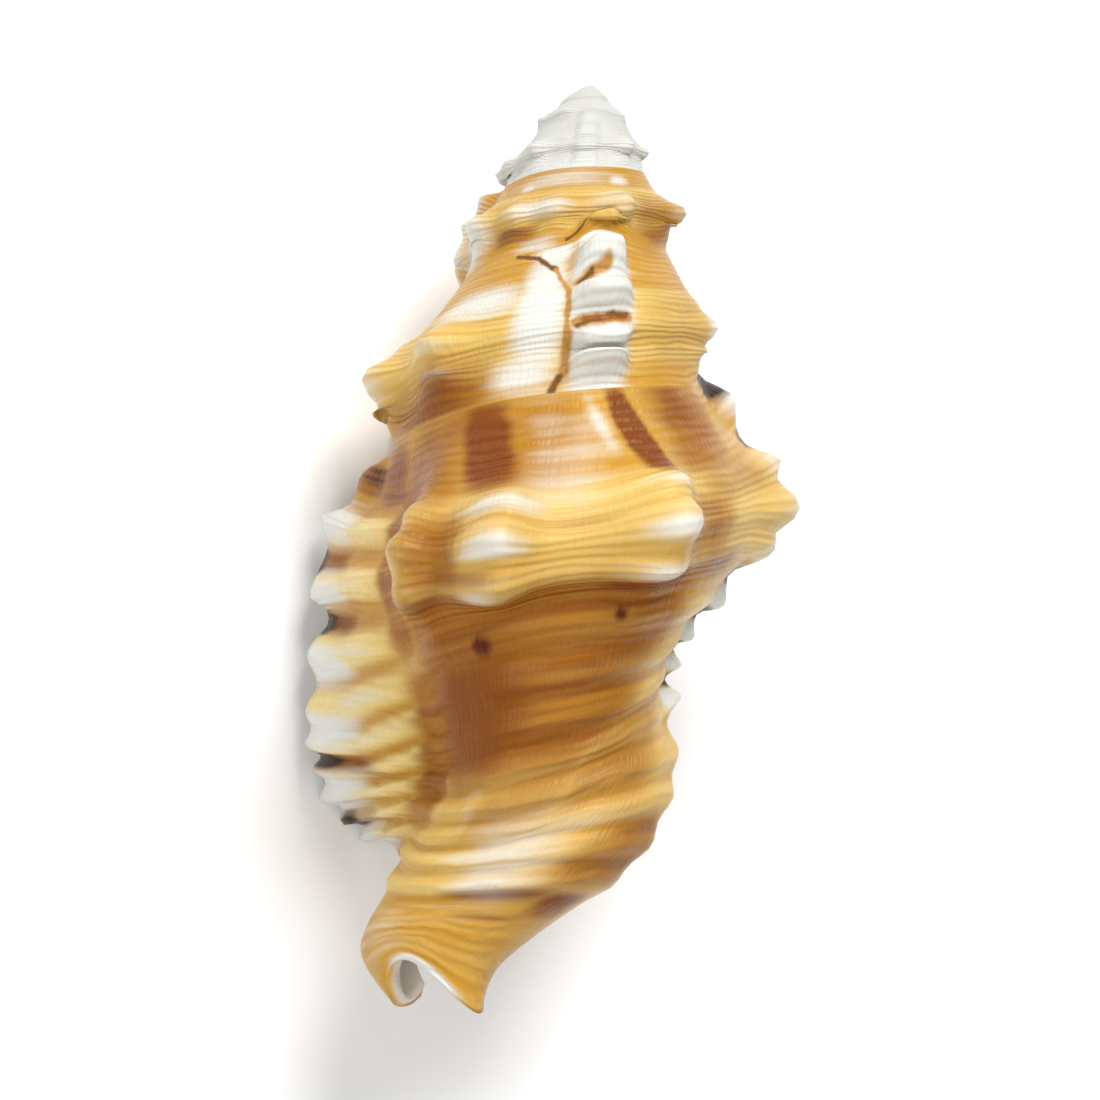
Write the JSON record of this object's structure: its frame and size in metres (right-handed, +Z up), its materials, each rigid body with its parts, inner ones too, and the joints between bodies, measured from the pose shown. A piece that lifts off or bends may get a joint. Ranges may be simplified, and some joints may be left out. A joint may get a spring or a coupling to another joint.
{
  "type": "triton conch shell",
  "caption": "Sea snail shell with a pointed knobbed spire, thick ribbed lip, open mouth and short bent canal, lying on its mouth.",
  "frame": {"origin": "centre of the bounding box's bottom face, on the floor the shell lies on", "axes": "+Z up from the floor, +Y along the shell towards the pointed spire, -X towards the outer lip, -Y the canal end"},
  "size_m": [0.057, 0.12, 0.0589],
  "materials": {
    "shell": "glossy"
  },
  "bodies": {
    "root": {"conch_shell": "shell"}
  },
  "joints": []
}
